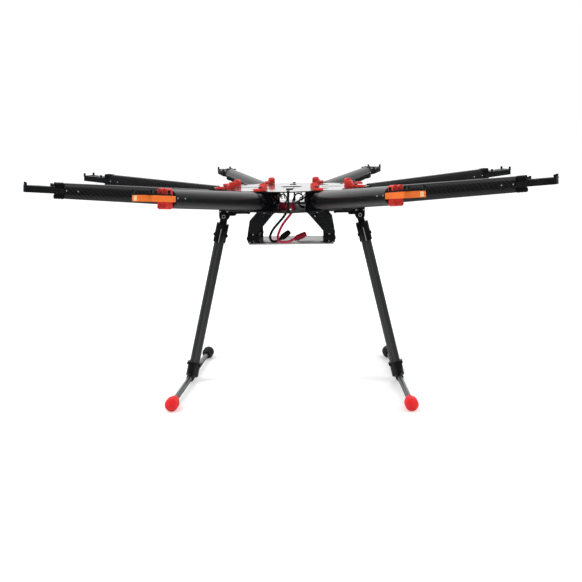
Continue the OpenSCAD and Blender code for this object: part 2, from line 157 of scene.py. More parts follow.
def on_deck(point):
    """A route's point, in millimetres under the lower plate, in the frame."""
    return Vector((point[0] / 1000, point[1] / 1000, deck_under + point[2] / 1000))


def finished(name, obj, finish, body, stands_for=()):
    """Gives a piece its finish, the body it rides on and the CAD nodes it stands for."""
    obj.name = name
    obj.data.materials.clear()
    obj.data.materials.append(finish)
    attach(obj, body)
    if stands_for:
        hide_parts(*stands_for)
    return obj


def from_bmesh(name, shape, place=None):
    """A mesh object from a bmesh, shaded smooth except at its sharp edges."""
    if place is not None:
        bmesh.ops.transform(shape, matrix=place, verts=shape.verts)
    mesh = bpy.data.meshes.new(name)
    shape.to_mesh(mesh)
    shape.free()
    mesh.shade_smooth()
    mesh.set_sharp_from_angle(angle=math.radians(35))
    obj = bpy.data.objects.new(name, mesh)
    bpy.context.scene.collection.objects.link(obj)
    return obj


def turned(profile, segments=32):
    """A shape turned about X from pairs of station and radius; the ends are closed."""
    shape = bmesh.new()
    line = [shape.verts.new((x, r, 0)) for x, r in profile]
    edges = [shape.edges.new(pair) for pair in zip(line, line[1:])]
    bmesh.ops.spin(shape, geom=line + edges, cent=(0, 0, 0), axis=(1, 0, 0), angle=math.tau,
                   steps=segments, use_merge=True)
    bmesh.ops.remove_doubles(shape, verts=shape.verts, dist=1e-6)
    bmesh.ops.holes_fill(shape, edges=shape.edges, sides=0)
    bmesh.ops.recalc_face_normals(shape, faces=shape.faces)
    return shape


def cord_piece(name, points, diameter, finish, body, stands_for=()):
    """A round cord along the points, as one smooth curve."""
    curve = bpy.data.curves.new(name, "CURVE")
    curve.dimensions = "3D"
    curve.bevel_depth = diameter / 2
    curve.bevel_resolution = 4
    curve.resolution_u = 6
    curve.use_fill_caps = True
    spline = curve.splines.new("NURBS")
    spline.points.add(len(points) - 1)
    for at, point in zip(spline.points, points):
        at.co = (*point, 1.0)
    spline.order_u = 3
    spline.use_endpoint_u = True
    obj = bpy.data.objects.new(name, curve)
    bpy.context.scene.collection.objects.link(obj)
    return finished(name, obj, finish, body, stands_for)


black_sleeve = coloured("black_silicone", linear(26, 26, 27), 0.42, scale=700, spread=0.2)
red_sleeve = coloured("red_silicone", linear(226, 50, 82), 0.42, scale=700, spread=0.12)
green_shell = coloured("green_connector", linear(38, 46, 38), 0.4, spread=0.15)
maroon_shell = coloured("maroon_connector", linear(168, 24, 46), 0.4, spread=0.15)
brass = coloured("gold_contact", linear(214, 170, 92), 0.25, metal=1.0, spread=0.1)


def connector_piece(name, node, route, finish):
    """A bullet connector in line with its lead: a collar, a ribbed grip and a smooth nose."""
    end = on_deck(route[-1])
    way = end - on_deck(route[-2])
    place = Matrix.Translation(end) @ way.to_track_quat("X", "Z").to_matrix().to_4x4()
    grip, collar = 0.006, 0.004
    profile = [(0.0002, 0.0026), (0.0002, collar - 0.0004), (0.0006, collar), (0.0046, collar),
               (0.0052, grip - 0.0006), (0.0058, grip)]
    for rib in range(5):
        start = 0.0072 + rib * 0.0026
        profile += [(start, grip), (start + 0.0004, grip - 0.0005), (start + 0.0014, grip - 0.0005),
                    (start + 0.0018, grip)]
    profile += [(0.0206, grip), (0.0214, grip - 0.0006), (0.026, grip - 0.0006), (0.0268, grip - 0.0014),
                (0.0268, 0.0034), (0.0232, 0.0034), (0.0232, 0.0)]
    shell = from_bmesh(name, turned(profile), place)
    finished(name, shell, finish, "frame", (node,))
    contact = turned([(0.0226, 0.0), (0.0226, 0.0024), (0.0254, 0.0024), (0.026, 0.0018), (0.026, 0.0)], 20)
    pin = from_bmesh(name + "_contact", contact, place)
    finished(name + "_contact", pin, brass, "frame")
    return shell, pin


for colour, route, sleeve, shell_finish, slots in (
        ("black", black_route, black_sleeve, green_shell, ("lead_black", "connector_green")),
        ("red", red_route, red_sleeve, maroon_shell, ("lead_red", "connector_red"))):
    points = [on_deck(point) for point in route]
    lead = cord_piece(f"battery_lead_{colour}", points, lead_diameter, sleeve, "frame",
                      (f"lead_{colour}",))
    shell, pin = connector_piece(f"battery_plug_{colour}", f"connector_{colour}", route, shell_finish)


# ---------------------------------------------------------------- centre plates
# Two octagonal plates cut from carbon fibre sheet, in their CAD shape. The top
# one is polished and mirrors the bright room at a low angle; the lower is satin.
tow_width = 0.0022


def weave(finish, turn, dark, light, bump, wrap):
    """A two by two twill of fibre bundles. turn lays it along the piece; wrap is the radius of a tube."""
    tree = finish.node_tree
    link = tree.links.new
    shader = tree.nodes["Principled BSDF"]
    where = add_node(finish, "ShaderNodeTexCoord")
    lay = add_node(finish, "ShaderNodeMapping", vector_type="POINT")
    lay.inputs["Rotation"].default_value = turn
    split = add_node(finish, "ShaderNodeSeparateXYZ")
    link(where.outputs["Object"], lay.inputs["Vector"])
    link(lay.outputs["Vector"], split.inputs["Vector"])

    def worked_out(operation, first, second):
        """The result of a Math node on two values or sockets."""
        node = add_node(finish, "ShaderNodeMath", operation=operation)
        for socket, value in zip(node.inputs, (first, second)):
            if isinstance(value, (int, float)):
                socket.default_value = value
            else:
                link(value, socket)
        return node.outputs["Value"]

    along, across = split.outputs["X"], split.outputs["Y"]
    if wrap:
        angle = worked_out("ARCTAN2", split.outputs["Z"], split.outputs["Y"])
        across = worked_out("MULTIPLY", angle, wrap)
    column = worked_out("DIVIDE", along, tow_width)
    row = worked_out("DIVIDE", across, tow_width)
    step = worked_out("SUBTRACT", worked_out("FLOOR", column, 0), worked_out("FLOOR", row, 0))
    over = worked_out("LESS_THAN", worked_out("FLOORED_MODULO", step, 4.0), 2.0)
    strand_x = worked_out("PINGPONG", column, 0.5)
    strand_y = worked_out("PINGPONG", row, 0.5)
    height = add_node(finish, "ShaderNodeMix", data_type="FLOAT")
    link(over, height.inputs[0])
    link(strand_x, height.inputs[2])
    link(strand_y, height.inputs[3])
    tint = add_node(finish, "ShaderNodeMix", data_type="RGBA")
    tint.inputs[6].default_value = dark
    tint.inputs[7].default_value = light
    link(over, tint.inputs[0])
    raised = add_node(finish, "ShaderNodeBump")
    raised.inputs["Strength"].default_value = bump
    raised.inputs["Distance"].default_value = 0.0003
    link(height.outputs[0], raised.inputs["Height"])
    link(tint.outputs[2], shader.inputs["Base Color"])
    link(raised.outputs["Normal"], shader.inputs["Normal"])
    return finish


def carbon(name, turn, rough, coat, coat_rough, dark, light, bump, wrap=None):
    """Lacquered carbon fibre: a woven core under a clear coat."""
    finish = paint(name, dark, rough, coat=coat, coat_rough=coat_rough)
    return weave(finish, turn, dark, light, bump, wrap)


def dress(node, finish):
    """A CAD node keeps its shape and gets a better finish."""
    obj = frame["nodes"][node]
    obj.data.materials.clear()
    obj.data.materials.append(finish)
    obj.data.shade_smooth()
    obj.data.set_sharp_from_angle(angle=math.radians(30))


dress("top_plate", carbon("carbon_plate", (0, 0, 0), coat=1.0, coat_rough=0.05, rough=0.28, bump=0.08,
                          dark=linear(28, 29, 30), light=linear(46, 47, 49)))
dress("bottom_plate", carbon("carbon_lower_plate", (0, 0, 0), coat=0.35, coat_rough=0.3, rough=0.4,
                             bump=0.08, dark=linear(24, 25, 26), light=linear(48, 49, 51)))


# ---------------------------------------------------------------- standoffs
# Turned black spacers, one at each of the eight corners, hold the plates apart.
# Each has a waist, and a bright socket screw comes down into it through the top plate.
satin_black = coloured("black_anodised", linear(30, 31, 33), 0.38, spread=0.2)
bright_steel = coloured("bright_steel", linear(196, 197, 200), 0.26, scale=1500, metal=1.0, spread=0.08)
bay_low, bay_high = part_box("plate_standoffs")
bay_floor, bay_roof = bay_low.z, bay_high.z
spacer_r = 0.0025
corner_r = bay_high.x - spacer_r


def add_shape(into, shape, place=None):
    """Joins a finished bmesh into another."""
    if place is not None:
        bmesh.ops.transform(shape, matrix=place, verts=shape.verts)
    mesh = bpy.data.meshes.new("part")
    shape.to_mesh(mesh)
    shape.free()
    into.from_mesh(mesh)
    bpy.data.meshes.remove(mesh)


def upright(x, y, z):
    """Places a shape turned about X so that it stands along Z from that point."""
    return Matrix.Translation((x, y, z)) @ Matrix.Rotation(-math.pi / 2, 4, "Y")


def spacer(height, radius, waist):
    """A turned spacer with a waist between its two ends."""
    return turned([(0, 0), (0, radius), (height * 0.2, radius), (height * 0.24, waist),
                   (height * 0.76, waist), (height * 0.8, radius), (height, radius), (height, 0)], 20)


def corner_place(corner, height):
    """Stands a shape over one of the plates' eight corners."""
    angle = math.radians(45 * corner)
    return upright(corner_r * math.cos(angle), corner_r * math.sin(angle), height)


spacers = bmesh.new()
for corner in range(8):
    add_shape(spacers, spacer(bay_roof - bay_floor, spacer_r, 0.0019), corner_place(corner, bay_floor))
finished("plate_spacers", from_bmesh("plate_spacers", spacers), satin_black, "frame",
         ("plate_standoffs",))


def screw(radius, height, sides=16):
    """A socket head that stands on X = 0: a rounded rim and a six-sided hollow."""
    rim = radius * 0.16
    shape = turned([(0, 0), (0, radius), (height - rim, radius), (height, radius - rim), (height, 0)], sides)
    top = [f for f in shape.faces if f.calc_center_median().x > height * 0.98]
    bmesh.ops.dissolve_faces(shape, faces=top)
    top = [f for f in shape.faces if f.calc_center_median().x > height * 0.98]
    bmesh.ops.inset_individual(shape, faces=top, thickness=radius * 0.34)
    bmesh.ops.inset_individual(shape, faces=top, thickness=radius * 0.02, depth=-height * 0.5)
    return shape


plate_screws = bmesh.new()
plate_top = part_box("top_plate")[1].z
for corner in range(8):
    add_shape(plate_screws, screw(0.0032, 0.0018), corner_place(corner, plate_top))
finished("plate_screws", from_bmesh("plate_screws", plate_screws), bright_steel, "frame")


# ---------------------------------------------------------------- plate marks
# Two small arrowheads inlaid at the middle of the top plate show which way is
# forward. They are plain triangles cut from matt black film.
def prism(corners, low, high):
    """A flat outline in X and Y, raised from low to high."""
    shape = bmesh.new()
    face = shape.faces.new([shape.verts.new((x, y, low)) for x, y in corners])
    risen = bmesh.ops.extrude_face_region(shape, geom=[face])["geom"]
    bmesh.ops.translate(shape, vec=(0, 0, high - low),
                        verts=[v for v in risen if isinstance(v, bmesh.types.BMVert)])
    bmesh.ops.recalc_face_normals(shape, faces=shape.faces)
    return shape


film_black = coloured("matt_film", linear(24, 24, 26), 0.7, spread=0.1)
arrows = bmesh.new()
for middle_y, half in ((-0.066, 0.009), (-0.108, 0.007)):
    add_shape(arrows, prism([(-half, middle_y + half), (half, middle_y + half), (0, middle_y - half)],
                            plate_top, plate_top + 0.0003))
finished("forward_marks", from_bmesh("forward_marks", arrows), film_black, "frame")


# ---------------------------------------------------------------- arm hinge blocks
# Machined aluminium blocks clamped between the plates, anodised a very dark
# blue, each with a tongue and eye for its arm. Their sides are pocketed
# and their inner corners cut off.
joints = {joint["name"]: joint for joint in frame["joints"]}
mounts = {mount["name"]: mount for mount in frame["record"]["mounts"]}
ARMS = range(1, 9)


def eased(node, radius, keep=None):
    """A copy of a CAD node with its sharp edges rounded, as a bmesh; keep picks solids by their points."""
    shape = bmesh.new()
    shape.from_mesh(frame["nodes"][node].data)
    bmesh.ops.remove_doubles(shape, verts=shape.verts, dist=2e-6)
    if keep:
        waiting = set(shape.verts)
        while waiting:
            solid, edge = set(), {waiting.pop()}
            while edge:
                solid |= edge
                edge = {e.other_vert(v) for v in edge for e in v.link_edges} - solid
            waiting -= solid
            if not keep([v.co for v in solid]):
                bmesh.ops.delete(shape, geom=list(solid), context="VERTS")
    bmesh.ops.dissolve_limit(shape, angle_limit=math.radians(1.5), verts=shape.verts, edges=shape.edges)
    if radius:
        edges = [e for e in shape.edges if len(e.link_faces) == 2 and e.calc_face_angle() > math.radians(32)]
        bmesh.ops.bevel(shape, geom=edges, offset=radius, segments=2, profile=0.5, affect="EDGES",
                        material=-1, clamp_overlap=True)
    bmesh.ops.triangulate(shape, faces=[f for f in shape.faces if len(f.verts) > 4])
    return shape


def eased_piece(name, node, radius, finish, body):
    """A piece that is a CAD node with its edges rounded."""
    return finished(name, from_bmesh(name, eased(node, radius)), finish, body, (node,))


block_blue = coloured("dark_blue_anodised", linear(16, 19, 25), 0.36, metal=0.3, spread=0.18)


def cut(shape, at, across, drop=False):
    """Cuts a bmesh by a plane; drop removes what lies past it and closes the cut."""
    bmesh.ops.bisect_plane(shape, geom=list(shape.verts) + list(shape.edges) + list(shape.faces),
                           plane_co=at, plane_no=across, clear_outer=drop)
    if drop:
        bmesh.ops.holes_fill(shape, edges=[e for e in shape.edges if e.is_boundary], sides=0)


def arm_place(number):
    """The frame of an arm: X along its boom from the hinge pin, Y along the pin."""
    hinge = joints[f"arm_{number}_fold"]
    across = Vector(hinge["axis"])
    up = Vector(mounts[f"motor_screws_{number}"]["axis"])
    along = across.cross(up)
    place = Matrix((along, across, up)).transposed().to_4x4()
    place.translation = Vector(hinge["pos_m"])
    return place


def level_place(number):
    """As arm_place, but with X level and Z up."""
    hinge = joints[f"arm_{number}_fold"]
    across = Vector(hinge["axis"])
    place = Matrix((across.cross(Vector((0, 0, 1))), across, Vector((0, 0, 1)))).transposed().to_4x4()
    place.translation = Vector(hinge["pos_m"])
    return place


block_half = 0.02
corner_start, corner_slope = -0.034, 0.75
pocket_in, pocket_out, pocket_rim, pocket_depth = -0.0325, -0.0225, 0.0035, 0.004


def own_block(into):
    """Picks one arm's block, by its place in the frame that into leads to."""
    return lambda points: all((into @ p).x > -0.06 and abs((into @ p).y) < block_half + 0.001 for p in points)


for number in ARMS:
    place = level_place(number)
    into = place.inverted()
    block = eased("arm_hinge_blocks", 0, own_block(into))
    bmesh.ops.transform(block, matrix=into, verts=block.verts)
    for side in (1, -1):
        cut(block, (corner_start, side * block_half, 0), (-corner_slope, side, 0), drop=True)
    low = min(v.co.z for v in block.verts) + pocket_rim
    high = max(v.co.z for v in block.verts) - pocket_rim
    for station in (low, high):
        cut(block, (0, 0, station), (0, 0, 1))
    for station in (pocket_in, pocket_out):
        cut(block, (station, 0, 0), (1, 0, 0))
    middles = [(face, face.calc_center_median()) for face in block.faces]
    sides = [face for face, at in middles if abs(abs(at.y) - block_half) < 0.0001
             and low < at.z < high and pocket_in < at.x < pocket_out]
    sides = bmesh.ops.dissolve_faces(block, faces=sides)["region"]
    bmesh.ops.inset_individual(block, faces=sides, thickness=0.0003)
    bmesh.ops.inset_individual(block, faces=sides, thickness=0.0002, depth=-pocket_depth)
    finished(f"hinge_block_{number}", from_bmesh(f"hinge_block_{number}", block, place), block_blue, "frame",
             ("arm_hinge_blocks",) if number == 1 else ())


# ---------------------------------------------------------------- pins and screws
# Turned steel pins with flat heads, blackened, run through the hinge blocks. The
# shoulder screws that guide the latches are left bright and stand in the top plate.
turned_steel = coloured("turned_steel", linear(150, 152, 156), 0.3, scale=1500, metal=1.0, spread=0.1)
oxide_black = coloured("black_oxide", linear(22, 22, 23), 0.36, scale=1500, metal=0.4, spread=0.15)


def guide_screw(points):
    """True for the upright screws that guide the latches."""
    return max(p.z for p in points) > plate_top + 0.001


guides = eased("hinge_pins_and_screws", 0.0005, guide_screw)
finished("latch_guide_screws", from_bmesh("latch_guide_screws", guides), turned_steel, "frame",
         ("hinge_pins_and_screws",))
pins = eased("hinge_pins_and_screws", 0.0006, lambda points: not guide_screw(points))
finished("hinge_pins", from_bmesh("hinge_pins", pins), oxide_black, "frame")


# ---------------------------------------------------------------- knuckles
# Glass-filled nylon forks, glued into the boom's inner end. They are as thick
# as the tube, so that a locked arm looks like one piece.
def arm_turn(number):
    """The turn that brings arm-space directions to world ones, undone, for a pattern along the boom."""
    return arm_place(number).to_3x3().inverted().to_euler()


nylon_black = coloured("nylon_black", linear(18, 19, 21), 0.4, scale=1100, spread=0.2, coat=0.3, coat_rough=0.25)
for number in ARMS:
    eased_piece(f"knuckle_{number}", f"arm_{number}_knuckle", 0.0007, nylon_black, f"arm_{number}")


# ---------------------------------------------------------------- booms
# Tapered carbon tubes, wound and lacquered. Two small screws on each side, near
# the outer end, hold the plug inside.
boom_radius = 0.0162
for number in ARMS:
    place = arm_place(number)
    tube = carbon(f"boom_carbon_{number}", arm_turn(number), wrap=boom_radius, rough=0.3, coat=0.25,
                  coat_rough=0.14, bump=0.1, dark=linear(17, 17, 18), light=linear(36, 36, 38))
    centre = place.to_3x3().inverted() @ place.translation
    lay = next(n for n in tube.node_tree.nodes if n.type == "MAPPING")
    lay.inputs["Location"].default_value = -centre
    dress(f"arm_{number}_boom", tube)

pale_zinc = coloured("pale_zinc", linear(188, 189, 192), 0.45, scale=1500, metal=0.1, spread=0.06)
tube_end_radius, tube_taper = 0.0149, 0.0094
motor_station = (Vector(mounts["motor_screws_1"]["pos_m"]) - Vector(joints["arm_1_fold"]["pos_m"])).dot(
    arm_place(1).to_3x3().col[0])
boom_end = motor_station - 0.046
for number in ARMS:
    small_screws = bmesh.new()
    for back, side in ((0.003, 1), (0.003, -1), (0.024, 1), (0.024, -1)):
        skin = tube_end_radius + back * tube_taper
        out = (Matrix.Translation((boom_end - back, side * skin * 0.99, 0.001))
               @ Matrix.Rotation(side * math.pi / 2, 4, "Z"))
        add_shape(small_screws, screw(0.0013, 0.0008, 12), out)
    finished(f"boom_screws_{number}", from_bmesh(f"boom_screws_{number}", small_screws, arm_place(number)),
             pale_zinc, f"arm_{number}")


# ---------------------------------------------------------------- end clamps
# A clamp with two lobes, each of two barrels, sits against each tube's end, on a plug
# glued into the tube. The two front arms' clamps are red to show the front.
FRONT_ARMS = (1, 8)
red_gloss = coloured("red_moulding", linear(226, 62, 56), 0.34, spread=0.07, bump=0.05)
orange_gloss = coloured("orange_moulding", linear(250, 122, 44), 0.36, spread=0.06, bump=0.05)
mount_black = coloured("black_moulding", linear(26, 27, 29), 0.4, spread=0.2)
clamp_start = boom_end + 0.001
clamp_end = clamp_start + 0.017
mount_low, band_top, mount_half = -0.005, 0.00455, 0.01875
waist, flare, neck_inset = 0.0138, 0.011, 0.0024
front_lobe_r, lobe_r = 0.0163, 0.0154


def solid_of_mount(number, part):
    """Picks one solid of a motor mount: the plug in the tube, the clamp, the band or the deck."""
    into_arm = arm_place(number).inverted()

    def keep(points):
        points = [into_arm @ p for p in points]
        if max(p.x for p in points) < clamp_start + 0.001:
            return part == "plug"
        if max(p.x for p in points) < clamp_end + 0.001:
            return part == "clamp"
        return part == ("band" if max(p.z for p in points) < band_top + 0.0001 else "deck")
    return keep


def lobes(radius):
    """The clamp's two lobes: a round body, cut flat on both sides, with two barrels above and two below."""
    body = radius - 0.0018
    shape = turned([(clamp_start, 0), (clamp_start, body - 0.0006), (clamp_start + 0.0006, body),
                    (clamp_end - 0.0006, body), (clamp_end, body - 0.0006), (clamp_end, 0)], 40)
    for side in (1, -1):
        cut(shape, (0, side * 0.0084, 0), (0, side, 0), drop=True)
    bmesh.ops.triangulate(shape, faces=[f for f in shape.faces if len(f.verts) > 4])
    barrel = 0.0042
    for y in (-0.0047, 0.0047):
        for way in (1, -1):
            profile = [(clamp_start, 0), (clamp_start, barrel - 0.0008), (clamp_start + 0.0008, barrel)]
            for groove in (0.0054, 0.0106):
                start = clamp_start + groove
                profile += [(start, barrel), (start + 0.0004, barrel - 0.0008),
                            (start + 0.0012, barrel - 0.0008), (start + 0.0016, barrel)]
            profile += [(clamp_end, barrel), (clamp_end + 0.0012, barrel - 0.0012),
                        (clamp_end + 0.0012, 0.0018), (clamp_end + 0.0004, 0.0016), (clamp_end + 0.0004, 0)]
            add_shape(shape, turned(profile, 24), Matrix.Translation((0, y, way * (radius - barrel))))
    return shape


for number in ARMS:
    front = number in FRONT_ARMS
    place = arm_place(number)
    clamp = lobes(front_lobe_r if front else lobe_r)
    core_half = mount_half - neck_inset
    core = prism([(clamp_start, -waist + neck_inset), (clamp_start + flare, -core_half), (clamp_end, -core_half),
                  (clamp_end, core_half), (clamp_start + flare, core_half), (clamp_start, waist - neck_inset)],
                 mount_low, band_top)
    bmesh.ops.bevel(core, geom=list(core.edges), offset=0.0006, segments=2, affect="EDGES", clamp_overlap=True)
    add_shape(clamp, core)
    finished(f"end_clamp_{number}", from_bmesh(f"end_clamp_{number}", clamp, place),
             red_gloss if front else mount_black, f"arm_{number}")
    plug = eased(f"arm_{number}_motor_mount", 0.0004, solid_of_mount(number, "plug"))
    finished(f"end_plug_{number}", from_bmesh(f"end_plug_{number}", plug), mount_black, f"arm_{number}")


# ---------------------------------------------------------------- motor mounts
# A flat box of two mouldings grips each clamp: a band, orange on the two front
# arms, and a black deck on top with four posts, whose screws are sunk in.
# A pale patch on the outer part of each front mount's end is a painted highlight, where light falls on that panel.
def narrowed(shape):
    """Draws a mount's inner end in towards the tube, over the length of the flare."""
    cut(shape, (clamp_start + flare, 0, 0), (1, 0, 0))
    for v in shape.verts:
        if v.co.x < clamp_start + 0.0002 and abs(v.co.y) > waist - neck_inset:
            v.co.y -= math.copysign(mount_half - waist, v.co.y)


mount_tip, deck_top, panel_half = motor_station + 0.027, 0.007, 0.006
post_x, post_y = 0.0236, 0.01595
# Painted highlight: a pale orange patch that stands in for light falling on the front mounts' outer end panel.
painted_highlight_pale = coloured("painted_highlight_patch", linear(255, 214, 164), 0.3, spread=0.04, bump=0.04, coat=0.5)
post_top, post_sink = deck_top + 0.0055, 0.001
for number in ARMS:
    front = number in FRONT_ARMS
    node = f"arm_{number}_motor_mount"
    place = arm_place(number)
    into_arm = place.inverted()
    band = eased(node, 0, solid_of_mount(number, "band"))
    bmesh.ops.transform(band, matrix=into_arm, verts=band.verts)
    for seam in (-panel_half, panel_half):
        cut(band, (0, seam, 0), (0, 1, 0))
    narrowed(band)
    for v in band.verts:
        if v.co.x > mount_tip - 0.006 and abs(v.co.y) > panel_half:
            v.co.x -= 0.1 * (abs(v.co.y) - panel_half)
    panel = [f for f in band.faces if f.calc_center_median().x > mount_tip - 0.0001
             and abs(f.calc_center_median().y) < panel_half]
    panel = bmesh.ops.dissolve_faces(band, faces=panel)["region"]
    bmesh.ops.inset_individual(band, faces=panel, thickness=0.0006)
    bmesh.ops.inset_individual(band, faces=panel, thickness=0.00005, depth=-0.0018)
    finished(f"mount_band_{number}", from_bmesh(f"mount_band_{number}", band, place),
             orange_gloss if front else mount_black, f"arm_{number}")
    if front:
        outer = 1 if number == 1 else -1
        near, far = outer * 0.0066, outer * 0.0132
        # The pale patch built here as lens is a painted highlight on the outer end panel.
        lens = prism([(mount_tip - 0.0035, far), (mount_tip - 0.0035, near), (mount_tip + 0.0001, near),
                      (mount_tip - 0.0005, far)], mount_low + 0.0006, band_top - 0.0006)
        bmesh.ops.bevel(lens, geom=list(lens.edges), offset=0.0003, segments=2, affect="EDGES", clamp_overlap=True)
        finished(f"painted_highlight_piece_{number}", from_bmesh(f"painted_highlight_piece_{number}", lens, place), painted_highlight_pale,
                 f"arm_{number}")
    deck = eased(node, 0, solid_of_mount(number, "deck"))
    bmesh.ops.transform(deck, matrix=into_arm, verts=deck.verts)
    cut(deck, (clamp_end + 0.0003, 0, 0), (-1, 0, 0), drop=True)
    tops = [f for f in deck.faces if f.calc_center_median().z > post_top - 0.0001]
    tops = bmesh.ops.dissolve_faces(deck, faces=tops)["region"]
    bmesh.ops.inset_individual(deck, faces=tops, thickness=0.0004)
    bmesh.ops.inset_individual(deck, faces=tops, thickness=0.00002, depth=-post_sink)
    finished(f"mount_deck_{number}", from_bmesh(f"mount_deck_{number}", deck, place), mount_black, f"arm_{number}",
             (node,))
    caps = bmesh.new()
    for x in (-post_x, post_x):
        for y in (-post_y, post_y):
            add_shape(caps, screw(0.0019, 0.0006), upright(motor_station + x, y, post_top - post_sink))
    finished(f"mount_screws_{number}", from_bmesh(f"mount_screws_{number}", caps, place),
             bright_steel, f"arm_{number}")


# ---------------------------------------------------------------- latches
# Red moulded slides, one over each arm's root, with a ribbed thumb piece and
# a low nose that runs under the head of its guide screw.
thumb_back = 0.0195
rib_start, rib_gap, rib_height = 0.0042, 0.0018, 0.0128
for number in ARMS:
    low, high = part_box(f"latch_{number}")
    outward = -Vector(joints[f"latch_{number}_slide"]["axis"])
    across = Vector((-outward.y, outward.x, 0))
    place = Matrix((outward, across, Vector((0, 0, 1)))).transposed().to_4x4()
    middle = (low + high) / 2
    place.translation = Vector((middle.x, middle.y, low.z)) - outward * thumb_back
    slide = eased(f"latch_{number}", 0.0007)
    for rib in range(4):
        bar = turned([(-0.0036, 0), (-0.0036, 0.0006), (-0.003, 0.001), (0.003, 0.001), (0.0036, 0.0006),
                      (0.0036, 0)], 12)
        add_shape(slide, bar, place @ Matrix.Translation((rib_start + rib * rib_gap, 0, rib_height))
                  @ Matrix.Rotation(math.pi / 2, 4, "Z"))
    finished(f"latch_slide_{number}", from_bmesh(f"latch_slide_{number}", slide), red_gloss, f"latch_{number}",
             (f"latch_{number}",))


# ---------------------------------------------------------------- power board and wiring
# A board on four spacers shares out the battery's power and carries the
# capacitors. A terminal block stands before it, and thin wires run out to the arms.
board_green = coloured("board_mask", linear(20, 44, 28), 0.16, scale=1600, bump=0.05, spread=0.2, coat=0.8,
                       coat_rough=0.08)
terminal_red = coloured("terminal_red", linear(178, 48, 68), 0.34, spread=0.12)
board_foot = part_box("power_board")[0].z
spacer_top, board_top = board_foot + 0.0057, board_foot + 0.0076
socket_start, socket_gap, block_front = -0.015, 0.009, -0.08


def terminal_block(points):
    """True for the terminal block's solid, which stands in front of the board."""
    return min(p.y for p in points) < -0.06


def board_part(name, keep):
    """The board above its spacers (keep -1) or the spacers below it (keep 1)."""
    part = eased("power_board", 0.0002, lambda points: not terminal_block(points))
    cut(part, (0, 0, spacer_top), (0, 0, keep), drop=True)
    return from_bmesh(name, part)


finished("power_board_slab", board_part("power_board_slab", -1), board_green, "frame",
         ("power_board",))
finished("board_spacers", board_part("board_spacers", 1), satin_black, "frame")
block = eased("power_board", 0.0006, terminal_block)
for socket in range(3):
    mouth = turned([(0, 0), (0, 0.0034), (0.0006, 0.0034), (0.0006, 0.0024), (0.0002, 0.0022), (0.0002, 0)], 16)
    add_shape(block, mouth, Matrix.Translation((socket_start + socket * socket_gap, block_front, board_foot + 0.0055))
              @ Matrix.Rotation(-math.pi / 2, 4, "Z"))
finished("terminal", from_bmesh("terminal", block), terminal_red, "frame")
wire_black = coloured("wire_black", linear(24, 24, 25), 0.4, spread=0.15)
wire_red = coloured("wire_red", linear(190, 40, 60), 0.42, spread=0.1)
can_blue = coloured("capacitor_sleeve", linear(30, 34, 48), 0.3, spread=0.1)
cans = bmesh.new()
for x, y in ((-0.04, -0.036), (-0.028, -0.038), (0.032, -0.036), (0.042, -0.028)):
    can = turned([(0, 0), (0, 0.0044), (0.0005, 0.005), (0.007, 0.005), (0.0077, 0.0043), (0.0073, 0.0036),
                  (0.0073, 0)], 20)
    add_shape(cans, can, upright(x, y, board_top))
finished("capacitors", from_bmesh("capacitors", cans), can_blue, "frame")

# Each arm's three wires bow apart and up on their way out: reach, spread and lift.
wire_gap = 0.006
wire_route = ((0.058, 1.0, 0.0), (0.068, 1.2, 0.004), (0.078, 1.9, 0.010), (0.090, 2.1, 0.0135),
              (0.100, 1.8, 0.012), (0.108, 1.3, 0.008), (0.1165, 1.0, 0.004))
for number in ARMS:
    hinge = Vector(joints[f"arm_{number}_fold"]["pos_m"])
    outward = Vector((hinge.x, hinge.y, 0)).normalized()
    across = Vector((-outward.y, outward.x, 0))
    for strand, (finish, slot) in enumerate(((wire_black, "lead_black"), (wire_red, "lead_red"),
                                             (wire_black, "lead_black"))):
        side = across * (strand - 1) * wire_gap
        rise = bay_floor + 0.010 + 0.004 * strand
        points = []
        for reach, spread, lift in wire_route:
            at = outward * reach + side * spread
            points.append(Vector((at.x, at.y, rise + lift)))
        cord_piece(f"arm_wire_{number}_{strand + 1}", points, 0.0022, finish, "frame")

# Three thicker wires loop forward between the plates and back, by points in millimetres.
signal_wires = {
    "left": [(-30, -44, 390), (-28, -80, 392), (-23.8, -108, 395), (-19.7, -113, 406), (-12, -112, 413),
             (-6.5, -106, 408), (-5, -90, 399), (-8, -60, 393), (-12, -44, 390)],
    "right": [(4, -44, 390), (5.5, -88, 394), (7.4, -109, 400), (11.4, -113, 409.5), (17.3, -113, 413.2),
              (24, -112, 411), (27, -108, 405), (22, -100, 399), (14, -80, 394), (10, -44, 390)],
    "low": [(16, -44, 390), (15, -80, 391), (16, -112, 394), (22, -124, 390), (30, -120, 386), (26, -100, 384),
            (20, -84, 384)]}
for name, points in signal_wires.items():
    cord_piece(f"signal_wire_{name}", [Vector(p) / 1000 for p in points], 0.0028, wire_black, "frame")


# ---------------------------------------------------------------- battery hanger
# Four struts cut from carbon sheet hang from the lower plate. They hold the damper
# rods, which carry the sheet tray on rubber rings; small screws fix the struts.
strut_carbon = carbon("strut_carbon", (math.radians(90), 0, math.radians(45)), coat=0.4, coat_rough=0.3, rough=0.4,
                      dark=linear(26, 27, 29), light=linear(38, 39, 41), bump=0.1)
eased_piece("hanger_struts", "hanger_plates", 0.0004, strut_carbon, "frame")
soft_black = coloured("black_rubber", linear(22, 22, 23), 0.62, scale=1400, bump=0.2, spread=0.15)
eased_piece("damper_rods_and_rings", "damper_rods", 0.0006, soft_black, "frame")
hanger_screws = bmesh.new()
strut_face = 0.0535
strut_holes = ((0.0775, 0.0175), (0.0765, 0.0035), (0.0845, 0.0025), (0.0535, 0.062), (0.045, 0.066))
for way in (-1, 1):
    for side in (-1, 1):
        for x, z in strut_holes:
            at = Matrix.Translation((side * x, way * strut_face, tray_top + z))
            add_shape(hanger_screws, screw(0.0019, 0.0009, 12), at @ Matrix.Rotation(way * math.pi / 2, 4, "Z"))
finished("hanger_screws", from_bmesh("hanger_screws", hanger_screws), pale_zinc, "frame")
